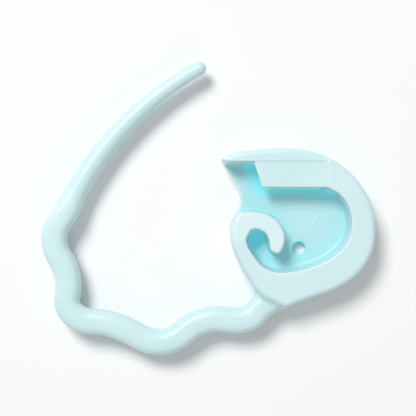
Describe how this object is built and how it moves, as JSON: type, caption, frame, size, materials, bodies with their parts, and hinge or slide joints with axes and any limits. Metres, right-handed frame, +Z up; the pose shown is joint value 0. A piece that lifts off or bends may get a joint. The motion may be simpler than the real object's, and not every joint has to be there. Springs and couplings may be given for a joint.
{
  "type": "stitch marker",
  "caption": "Locking stitch marker: a bowed pin on a wavy spring arm closes under a bridge in a cupped round head. Moulded open, lying flat.",
  "frame": {"origin": "bottom centre of the bounding box, on the plane of the head's flat back, inside the open loop", "axes": "+Z up out of the front face, +X along the keeper bridge from the loop's corner side towards the head, +Y towards the pin's free end"},
  "size_m": [0.022, 0.0194, 0.0026],
  "materials": {
    "aqua_plastic": "satin moulded plastic"
  },
  "bodies": {
    "latch_head": {"latch_floor": "aqua_plastic", "latch_rim": "aqua_plastic", "keeper_bridge": "aqua_plastic", "curl_rib": "aqua_plastic", "neck": "aqua_plastic"},
    "shoulder": {"shoulder_lobe": "aqua_plastic"},
    "second": {"second_lobe": "aqua_plastic"},
    "third": {"third_lobe": "aqua_plastic"},
    "corner": {"corner_lobe": "aqua_plastic"},
    "pin": {"pin_shaft": "aqua_plastic", "pin_tip": "aqua_plastic"}
  },
  "joints": [
    {"name": "neck_flex", "type": "hinge", "parent": "latch_head", "child": "shoulder", "pos_m": [0.00372, -0.00641, 0.00133], "axis": [0, 0, 1], "range_deg": [0, 21.9], "stiffness_Nm_per_rad": 0.2},
    {"name": "shoulder_flex", "type": "hinge", "parent": "shoulder", "child": "second", "pos_m": [-0.00017, -0.00746, 0.00133], "axis": [0, 0, -1], "range_deg": [0, 30], "stiffness_Nm_per_rad": 0.2},
    {"name": "arm_flex", "type": "hinge", "parent": "second", "child": "third", "pos_m": [-0.00608, -0.00781, 0.00133], "axis": [0, 0, 1], "range_deg": [0, 4.9], "stiffness_Nm_per_rad": 0.2},
    {"name": "corner_flex", "type": "hinge", "parent": "third", "child": "corner", "pos_m": [-0.00933, -0.00447, 0.00133], "axis": [0, 0, -1], "range_deg": [0, 9.3], "stiffness_Nm_per_rad": 0.2},
    {"name": "pin_flex", "type": "hinge", "parent": "corner", "child": "pin", "pos_m": [-0.00912, 0.00031, 0.00133], "axis": [0, 0, -1], "range_deg": [0, 23.8], "stiffness_Nm_per_rad": 0.1}
  ]
}
